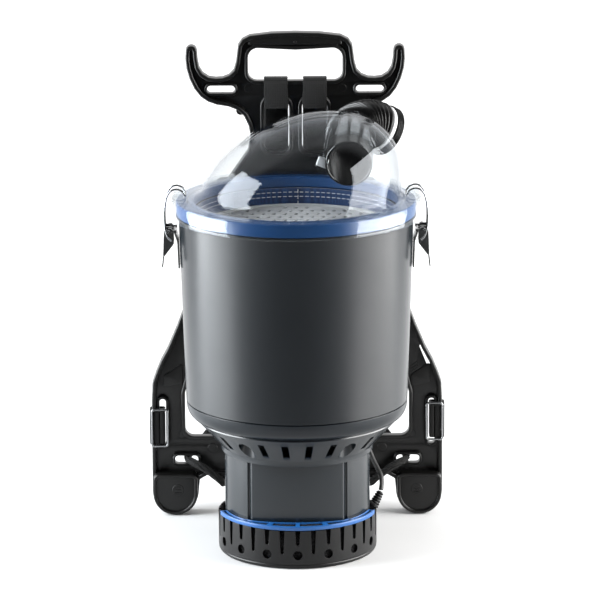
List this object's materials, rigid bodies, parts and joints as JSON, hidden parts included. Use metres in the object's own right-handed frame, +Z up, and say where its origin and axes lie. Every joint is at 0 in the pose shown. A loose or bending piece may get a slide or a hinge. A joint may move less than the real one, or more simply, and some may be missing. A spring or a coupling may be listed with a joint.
{
  "type": "backpack vacuum cleaner",
  "caption": "Backpack vacuum cleaner: round canister with a clear leaning dome lid, bagged filter, motor below, side latches and a moulded back plate with harness slots.",
  "frame": {"origin": "centre of the exhaust cage's flat underside, on the canister's axis and on the floor", "axes": "+Z up along the canister's axis, -Y towards the front of the canister, +Y towards the wearer's back, +X to the side that the hose leaves on, seen from the front"},
  "size_m": [0.3056, 0.2985, 0.5066],
  "materials": {
    "body_plastic": "satin",
    "housing_plastic": "satin",
    "cage_plastic": "satin",
    "blue_plastic": "satin",
    "plate_plastic": "satin",
    "clear_plastic": "polished clear",
    "bag_cloth": "woven",
    "grey_plastic": "satin",
    "hose_plastic": "satin",
    "steel": "polished",
    "webbing": "woven",
    "foam": "open cell",
    "rubber": "matte",
    "copper": "wound"
  },
  "bodies": {
    "frame": {"exhaust_cage": "cage_plastic", "exhaust_filter_frame": "blue_plastic", "exhaust_foam": "foam", "motor_housing": "housing_plastic", "vent_shroud": "housing_plastic", "lower_bowl": "body_plastic", "canister_shell": "body_plastic", "bag_ring": "blue_plastic", "filter_bag": "bag_cloth", "perforated_disc": "grey_plastic", "pre_motor_filter": "foam", "lid": "clear_plastic", "latch_base_L": "steel", "latch_pin_L": "steel", "latch_base_R": "steel", "latch_pin_R": "steel", "back_plate": "plate_plastic", "canister_saddle": "plate_plastic", "motor_bracket": "plate_plastic", "back_pad": "foam", "top_strap_loop_L": "webbing", "belt_loop_L": "webbing", "shoulder_strap_L": "webbing", "top_strap_loop_R": "webbing", "belt_loop_R": "webbing", "shoulder_strap_R": "webbing", "belt_ring_L": "steel", "belt_ring_R": "steel", "lower_strap_L": "webbing", "lower_strap_R": "webbing", "strain_relief": "grey_plastic", "power_lead": "rubber", "lead_gland": "rubber", "switch_box": "plate_plastic", "inlet_socket": "rubber", "fan_can": "steel", "motor_field": "steel", "upper_bearing": "steel", "lower_bearing": "steel", "fan_end_bracket": "steel", "brush_end_bracket": "steel", "carbon_brush_L": "foam", "carbon_brush_R": "foam", "motor_mount_ring": "rubber", "motor_seal": "rubber", "shroud_screw_1": "steel", "shroud_screw_2": "steel", "shroud_screw_3": "steel", "shroud_screw_4": "steel"},
    "hose_assembly": {"hose_cuff": "hose_plastic", "hose": "hose_plastic", "hose_collar": "grey_plastic", "hose_end_cuff": "hose_plastic"},
    "latch_lever_left": {"latch_lever_L": "steel"},
    "latch_bail_left": {"latch_bail_L": "steel"},
    "latch_lever_right": {"latch_lever_R": "steel"},
    "latch_bail_right": {"latch_bail_R": "steel"},
    "motor_rotor": {"rotor": "copper", "impeller": "steel"},
    "switch_rocker": {"power_switch": "hose_plastic"}
  },
  "joints": [
    {"name": "hose_swivel", "type": "hinge", "parent": "frame", "child": "hose_assembly", "pos_m": [0.0525, -0.014, 0.3984], "axis": [0.0295, 0.9897, 0.1402], "range_deg": [0, 22]},
    {"name": "latch_lever_left_turn", "type": "hinge", "parent": "frame", "child": "latch_lever_left", "pos_m": [-0.1254, 0, 0.331], "axis": [0, 1, 0], "range_deg": [0, 112]},
    {"name": "latch_bail_left_swing", "type": "hinge", "parent": "latch_lever_left", "child": "latch_bail_left", "pos_m": [-0.1245, 0, 0.3202], "axis": [0, -1, 0], "range_deg": [0, 168]},
    {"name": "latch_lever_right_turn", "type": "hinge", "parent": "frame", "child": "latch_lever_right", "pos_m": [0.1254, 0, 0.331], "axis": [0, -1, 0], "range_deg": [0, 112]},
    {"name": "latch_bail_right_swing", "type": "hinge", "parent": "latch_lever_right", "child": "latch_bail_right", "pos_m": [0.1245, 0, 0.3202], "axis": [0, 1, 0], "range_deg": [0, 168]},
    {"name": "motor_spin", "type": "hinge", "parent": "frame", "child": "motor_rotor", "pos_m": [0, 0, 0.072], "axis": [0, 0, 1], "continuous": true},
    {"name": "switch_rock", "type": "hinge", "parent": "frame", "child": "switch_rocker", "pos_m": [0.056, 0.1574, 0.056], "axis": [0, 0, 1], "range_deg": [-5, 5]}
  ],
  "couplings": [
    {"joint": "latch_bail_left_swing", "follows": "latch_lever_left_turn", "ratio": 1.5},
    {"joint": "latch_bail_right_swing", "follows": "latch_lever_right_turn", "ratio": 1.5}
  ]
}
